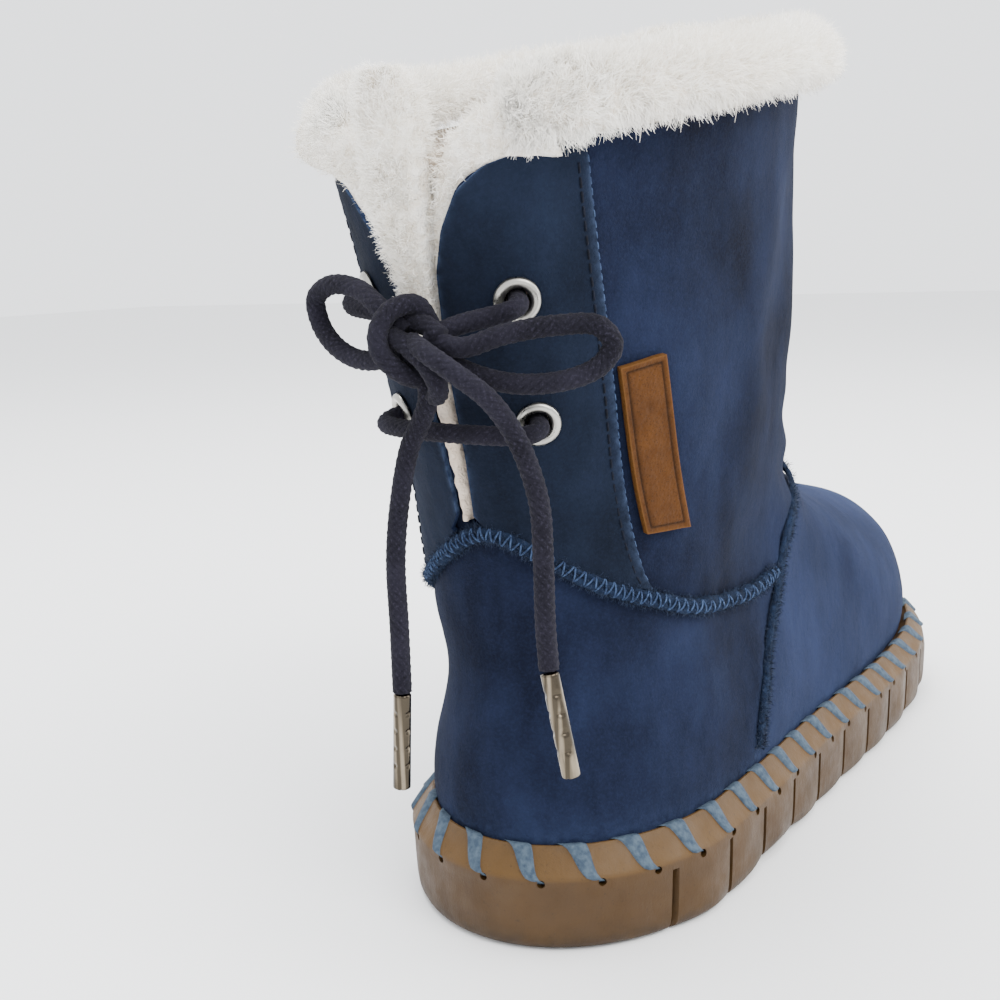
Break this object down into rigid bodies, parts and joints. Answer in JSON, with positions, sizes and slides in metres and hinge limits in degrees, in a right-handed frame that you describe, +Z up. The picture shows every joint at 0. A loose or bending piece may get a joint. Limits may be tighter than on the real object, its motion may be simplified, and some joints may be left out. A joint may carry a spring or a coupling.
{
  "type": "mukluk boot",
  "caption": "Right-foot suede mukluk boot with a laced slit at the back, a deep fur collar and a whip-stitched gum rubber sole with flex grooves.",
  "frame": {"origin": "on the ground under the middle of the heel block", "axes": "+Y towards the toe, +X towards the outer (little toe) side of the right foot, +Z up"},
  "size_m": [0.1109, 0.2955, 0.2188],
  "materials": {
    "gum_rubber": "matte",
    "insole_fabric": "fleece",
    "suede": "napped suede",
    "suede_dark": "napped suede",
    "seam_suede": "napped suede, overlocked",
    "fur": "deep pile",
    "label_leather": "smooth, pressed",
    "eyelet_metal": "brushed",
    "lace_cord": "braided",
    "aglet_metal": "polished"
  },
  "bodies": {
    "root": {"outsole": "gum_rubber", "insole": "insole_fabric", "upper": "suede", "eyestay_lateral": "suede_dark", "eyestay_medial": "suede_dark", "ankle_seam": "seam_suede", "vamp_seam": "seam_suede", "fur_cuff": "fur", "gusset": "fur", "label": "label_leather", "eyelet_lateral_upper": "eyelet_metal", "eyelet_lateral_lower": "eyelet_metal", "eyelet_medial_upper": "eyelet_metal", "eyelet_medial_lower": "eyelet_metal", "lace_bar": "lace_cord", "lace_strand_lateral": "lace_cord", "lace_strand_medial": "lace_cord", "lace_knot": "lace_cord", "lace_loop_lateral": "lace_cord", "lace_loop_medial": "lace_cord", "lace_end_lateral": "lace_cord", "lace_end_medial": "lace_cord", "aglet_lateral": "aglet_metal", "aglet_medial": "aglet_metal"}
  },
  "joints": []
}
